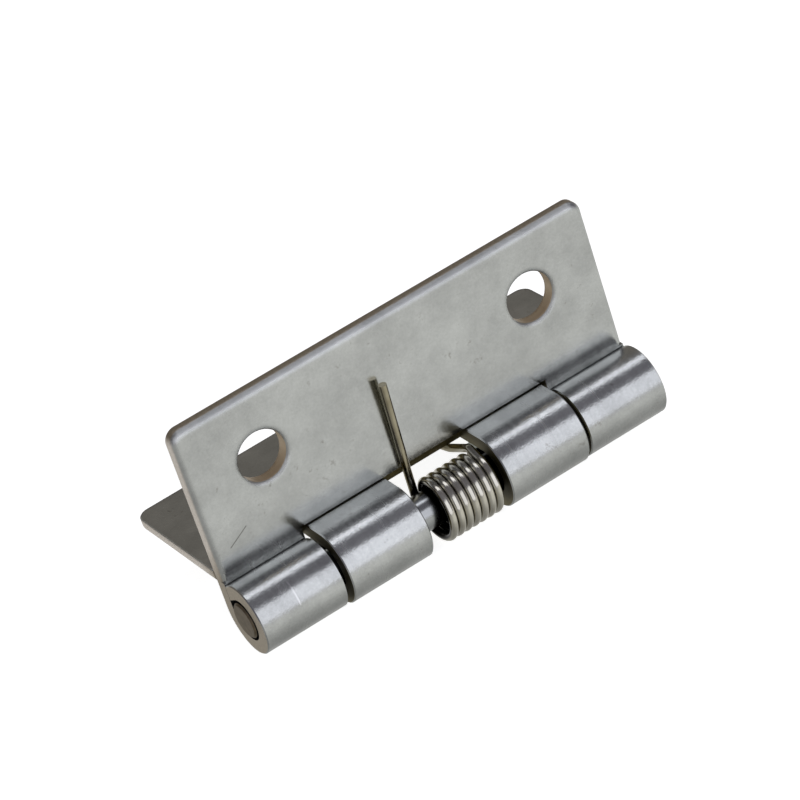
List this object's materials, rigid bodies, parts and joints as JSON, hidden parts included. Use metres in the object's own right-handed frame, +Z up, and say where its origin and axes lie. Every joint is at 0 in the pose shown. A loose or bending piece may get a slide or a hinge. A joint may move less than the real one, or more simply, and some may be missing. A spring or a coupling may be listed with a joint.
{
  "type": "spring loaded door hinge",
  "caption": "Stainless butt hinge with plain screw holes, curled knuckles on a loose pin and a torsion spring that snaps the leaves to a right angle.",
  "frame": {"origin": "midway between the front leaf's two screw holes, on its flat mounting face", "axes": "+X along the pin, +Y out of the front leaf's mounting face and back along the rear leaf, +Z up along the front leaf"},
  "size_m": [0.0504, 0.0251, 0.0251],
  "materials": {
    "leaf_steel": "mill finish stainless sheet, semi-gloss, with tan sheared edges",
    "pin_steel": "drawn steel rod, satin, with brown cropped ends",
    "spring_steel": "bright drawn spring wire"
  },
  "bodies": {
    "front": {"front_leaf": "leaf_steel", "hinge_pin": "pin_steel", "torsion_spring": "spring_steel"},
    "rear": {"rear_leaf": "leaf_steel"}
  },
  "joints": [
    {"name": "leaf_swing", "type": "hinge", "parent": "front", "child": "rear", "pos_m": [0, -0.00415, -0.0137], "axis": [-1, 0, 0], "range_deg": [0, 270], "stiffness_Nm_per_rad": 0.042, "springref_deg": -28.65, "deforming": ["torsion_spring"]}
  ]
}
